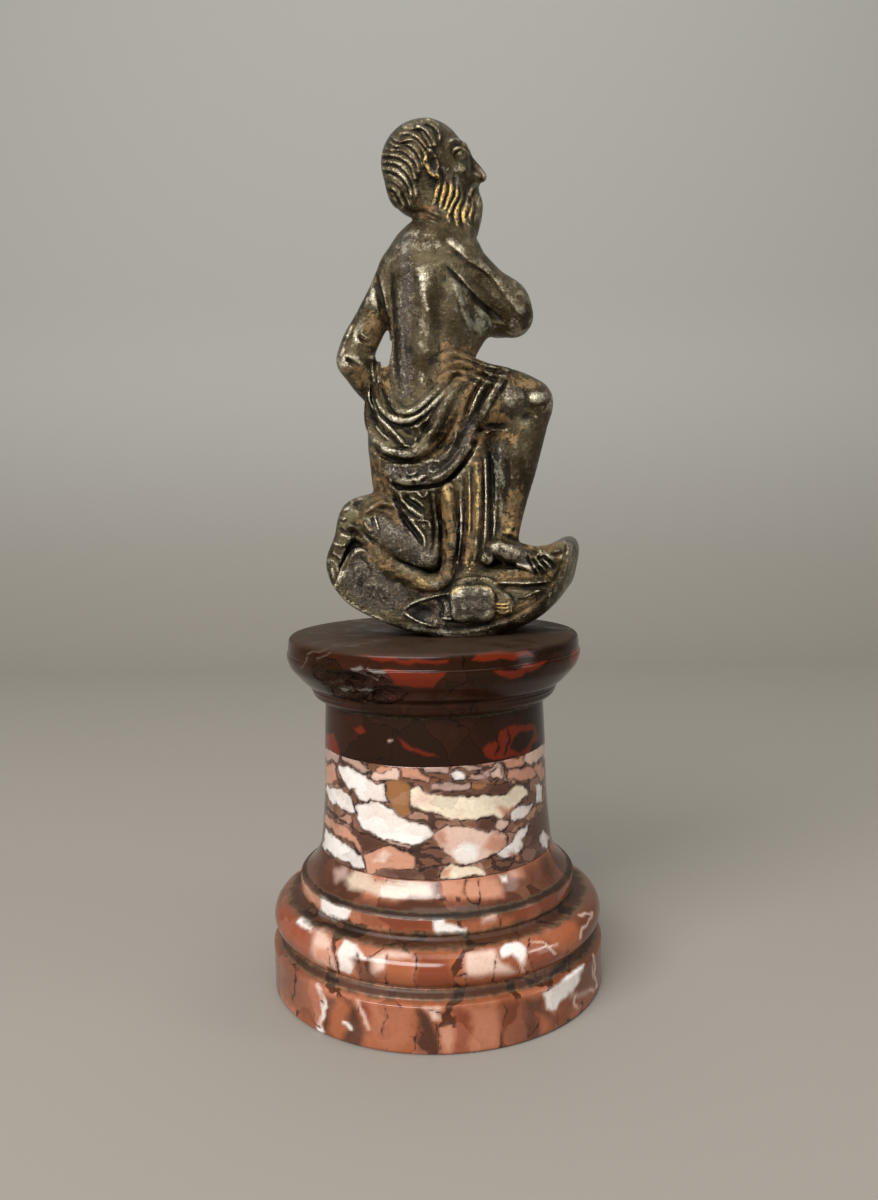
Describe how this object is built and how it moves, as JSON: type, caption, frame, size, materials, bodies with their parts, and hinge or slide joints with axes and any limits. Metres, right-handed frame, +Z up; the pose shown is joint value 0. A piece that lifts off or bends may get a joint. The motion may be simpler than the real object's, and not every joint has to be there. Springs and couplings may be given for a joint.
{
  "type": "statuette on plinth",
  "caption": "Bronze statuette of a half draped, bearded philosopher kneeling on a crescent of ground, set on a turned round marble plinth; a desk or shelf ornament.",
  "frame": {"origin": "centre of the plinth's flat underside", "axes": "+Z up along the plinth's turning axis; the figure's back is towards -Y and its head looks towards +X"},
  "size_m": [0.09, 0.09, 0.2263],
  "materials": {
    "bronze": "cast bronze with worn fire gilding, dark in the hollows and rubbed bright on the ridges",
    "griotte": "polished very dark red-brown marble with brick-red patches",
    "breccia": "polished breccia marble of white and salmon pieces with dark veins",
    "red_breccia": "polished brick-red breccia marble with brown, white and dark veins"
  },
  "bodies": {
    "root": {"base": "red_breccia", "shaft": "breccia", "capital": "griotte", "philosopher_figure": "bronze"}
  },
  "joints": []
}
